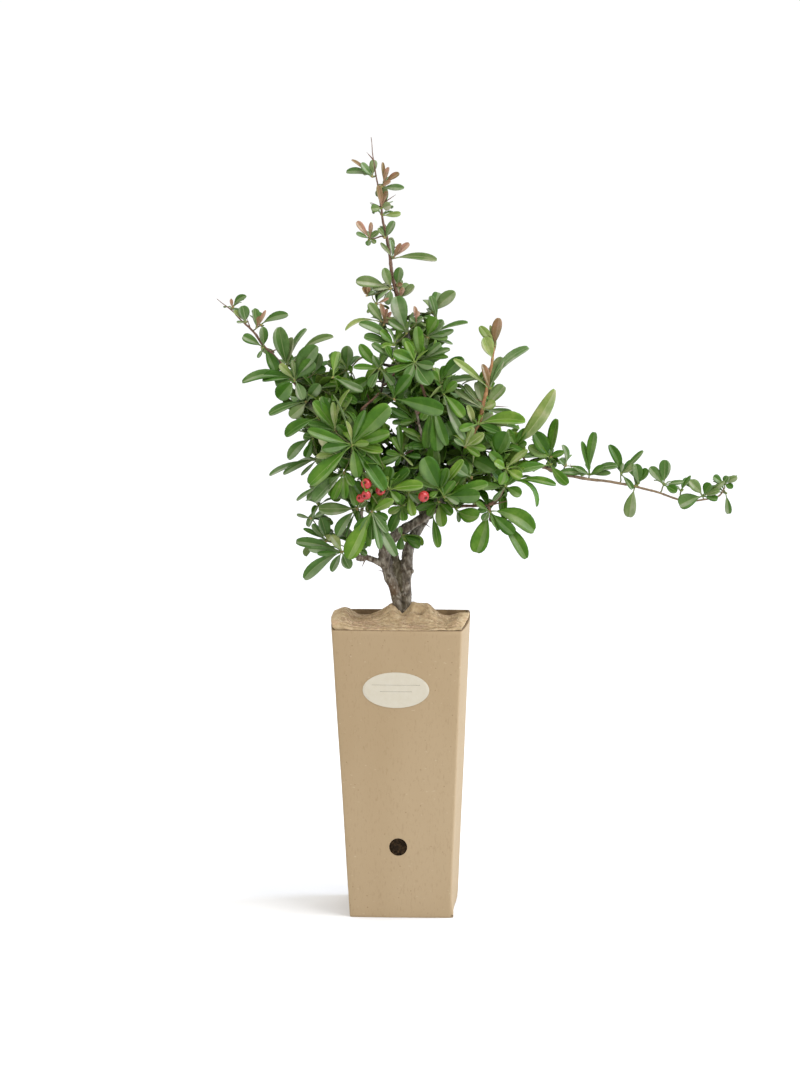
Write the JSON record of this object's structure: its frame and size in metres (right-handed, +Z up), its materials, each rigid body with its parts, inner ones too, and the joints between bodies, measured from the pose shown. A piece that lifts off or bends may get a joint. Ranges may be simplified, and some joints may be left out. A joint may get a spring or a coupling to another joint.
{
  "type": "potted firethorn shrub",
  "caption": "Young forked firethorn shrub with a tall leader and a long side arm, leafy and lightly berried, standing in a tapered square carton pot.",
  "frame": {"origin": "centre of the pot's flat underside, on the surface that it stands on", "axes": "+Z up along the trunk and leader, -Y out of the pot's labelled face, +X towards the long side arm"},
  "size_m": [0.3362, 0.1234, 0.5025],
  "materials": {
    "carton": "matt uncoated kraft board with fine flecks",
    "soil": "moist dark crumbly compost",
    "label": "matt cream paper, bare",
    "mulch": "matt tan plant-fibre felt",
    "bark": "grey-brown bark, rough at the foot and smoother on the twigs",
    "leaves": "glossy deep green with a paler underside and midrib",
    "young_leaves": "satin salmon and bronze",
    "berries": "glossy bright red"
  },
  "bodies": {
    "root": {"pot_shell": "carton", "root_ball": "soil", "label": "label", "mulch_mat": "mulch", "trunk": "bark", "left_bough": "bark", "right_bough": "bark", "low_left_bough": "bark", "leader": "bark", "left_shoot": "bark", "right_shoot": "bark", "long_arm": "bark", "low_right_bough": "bark", "hanging_twig": "bark", "leader_tip_leaves": "leaves", "leader_upper_leaves": "leaves", "leader_middle_leaves": "leaves", "leader_side_leaves": "leaves", "leader_lower_leaves": "leaves", "crown_top_left": "leaves", "crown_top_right": "leaves", "upper_left": "leaves", "upper_middle": "leaves", "upper_right": "leaves", "right_shoot_tip": "leaves", "right_shoot_leaves": "leaves", "left_shoot_tip": "leaves", "left_shoot_leaves": "leaves", "left_shoulder_top": "leaves", "left_shoulder": "leaves", "left_middle": "leaves", "left_wing": "leaves", "front_rosette": "leaves", "left_low": "leaves", "lowest_left": "leaves", "centre_low": "leaves", "centre": "leaves", "front_middle": "leaves", "fork_leaves": "leaves", "right_middle": "leaves", "right_front": "leaves", "large_leaf": "leaves", "right_tip": "leaves", "right_low": "leaves", "hanging_left_leaf": "leaves", "hanging_right_leaves": "leaves", "arm_first_leaves": "leaves", "arm_second_leaves": "leaves", "arm_hanging_leaf": "leaves", "arm_third_leaves": "leaves", "arm_fourth_leaves": "leaves", "arm_tip_leaves": "leaves", "back_left": "leaves", "back_middle": "leaves", "back_right": "leaves", "back_low": "leaves"}
  },
  "joints": []
}
